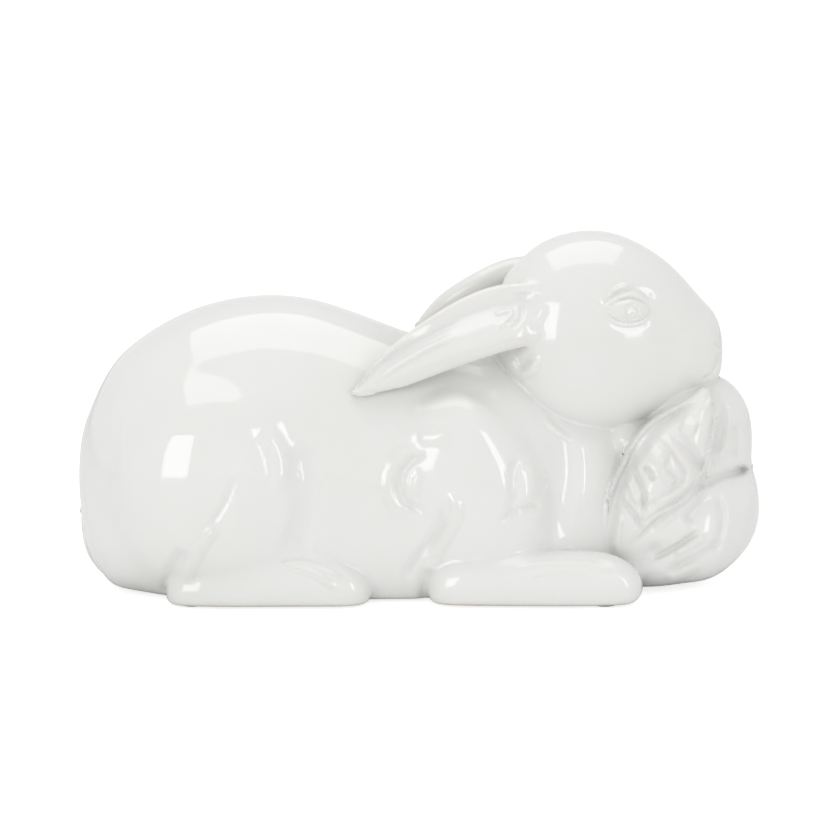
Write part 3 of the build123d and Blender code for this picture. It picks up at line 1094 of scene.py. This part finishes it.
def clay_material():
    """Bare buff stoneware, wiped smooth, with iron specks and sponge marks."""
    material, shader, add, link = new_material("bare_clay")
    place = add("TexCoord").outputs["Object"]
    colour = blend(add, noise(add, place, scale=30, detail=4), clay_dark, clay_pale)
    speck = add("TexVoronoi", {"Vector": place, "Scale": 240}).outputs["Distance"]
    speck = between(add, speck, low=0.16, high=0.08, to_low=0, to_high=0.6)
    link(blend(add, speck, colour, clay_iron), shader.inputs["Base Color"])
    grain = noise(add, place, scale=900, detail=4)
    rough = between(add, grain, low=0.3, high=0.7, to_low=0.72, to_high=0.9)
    link(rough, shader.inputs["Roughness"])
    bump = add("Bump", {"Height": grain, "Distance": 0.0002, "Strength": 0.6})
    link(bump.outputs[0], shader.inputs["Normal"])
    return material


felt_dark = (0.34, 0.26, 0.19)
felt_pale = (0.52, 0.42, 0.33)
felt_sheen = 0.4


def felt_material():
    """Short brown felt, matted, with lighter fibres."""
    material, shader, add, link = new_material("felt")
    place = add("TexCoord").outputs["Object"]
    fibre = noise(add, place, scale=2600, detail=5)
    colour = blend(add, between(add, fibre, low=0.3, high=0.7), felt_dark, felt_pale)
    link(colour, shader.inputs["Base Color"])
    matted = noise(add, place, scale=500)
    rough = between(add, matted, low=0.3, high=0.7, to_low=0.88, to_high=1)
    link(rough, shader.inputs["Roughness"])
    shader.inputs["Sheen Weight"].default_value = felt_sheen
    bump = add("Bump", {"Height": fibre, "Distance": 0.0003, "Strength": 0.8})
    link(bump.outputs[0], shader.inputs["Normal"])
    return material


glaze = glaze_material()
for piece in pieces.values():
    piece.data.materials.append(glaze)
felt.data.materials.append(felt_material())
base_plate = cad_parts["base_plate"]
clay = clay_material()
for material_slot in base_plate.material_slots:
    material_slot.material = clay


# Stage and light. To the camera the floor reflects floor_shadow_depth and glows with floor_glow;
# everything else sees it reflect floor_white.
floor_white = 0.9
floor_shadow_depth = 0.5
floor_glow = 0.80
floor_size = 6


def add_stage():
    """White paper. To the camera it is white, and keeps part of the shadow."""
    material, _, add, link = new_material("paper")
    camera_ray = add("LightPath").outputs["Is Camera Ray"]
    reflect = between(add, camera_ray, 0, 1, floor_white, floor_shadow_depth)
    colour = add("CombineColor", {0: reflect, 1: reflect, 2: reflect}).outputs[0]
    paper = add("BsdfDiffuse", {"Color": colour})
    glow = add("Emission", {"Strength": product(add, camera_ray, floor_glow)})
    both = add("AddShader", {0: paper.outputs[0], 1: glow.outputs[0]})
    link(both.outputs[0], material.node_tree.nodes["Material Output"].inputs["Surface"])
    bpy.ops.mesh.primitive_plane_add(size=floor_size, location=(0, 0, 0))
    floor = bpy.context.object
    floor.name = "floor"
    floor.data.materials.append(material)


horizon_light = 0.9
sky_light = 0.5
seen_light = 1


def add_world():
    """An even white room, a little darker overhead than along its walls, and white to the camera."""
    world = bpy.data.worlds.new("studio")
    bpy.context.scene.world = world
    world.use_nodes = True
    nodes = world.node_tree.nodes
    link = world.node_tree.links.new
    way = nodes.new("ShaderNodeTexCoord")
    split = nodes.new("ShaderNodeSeparateXYZ")
    link(way.outputs["Generated"], split.inputs[0])
    rise = nodes.new("ShaderNodeMapRange")
    link(split.outputs["Z"], rise.inputs["Value"])
    rise.inputs["To Min"].default_value = horizon_light
    rise.inputs["To Max"].default_value = sky_light
    path = nodes.new("ShaderNodeLightPath")
    seen = nodes.new("ShaderNodeMix")
    link(path.outputs["Is Camera Ray"], seen.inputs[0])
    link(rise.outputs["Result"], seen.inputs[2])
    seen.inputs[3].default_value = seen_light
    nodes["Background"].inputs["Color"].default_value = (1, 1, 1, 1)
    link(seen.outputs[0], nodes["Background"].inputs["Strength"])


# Each lamp's name, its place and the spot it faces, its width, its height and its brightness
softboxes = [
    ("overhead", (0, 0.12, 1.35), (0, 0, 0.05), 1.4, 1.25, 1.0),
    ("left", (-0.78, -1.3, 0.38), (0, 0, 0.08), 0.55, 0.74, 2.2),
    ("right", (0.95, -1.15, 0.46), (0, 0, 0.08), 0.24, 0.88, 2.3),
]


def add_softbox(name, place, target, width, height, brightness):
    """A lamp that is equally bright all over its face, whatever its size."""
    data = bpy.data.lights.new(name, "AREA")
    data.shape = "RECTANGLE"
    data.size = width
    data.size_y = height
    data.energy = 4 * width * height * brightness
    lamp = bpy.data.objects.new(name, data)
    bpy.context.scene.collection.objects.link(lamp)
    lamp.visible_camera = False
    lamp.location = place
    lamp.rotation_mode = "QUATERNION"
    lamp.rotation_quaternion = (Vector(place) - Vector(target)).to_track_quat("Z", "Y")


add_stage()
add_world()
for softbox in softboxes:
    add_softbox(*softbox)
bpy.context.scene.view_settings.view_transform = "Standard"
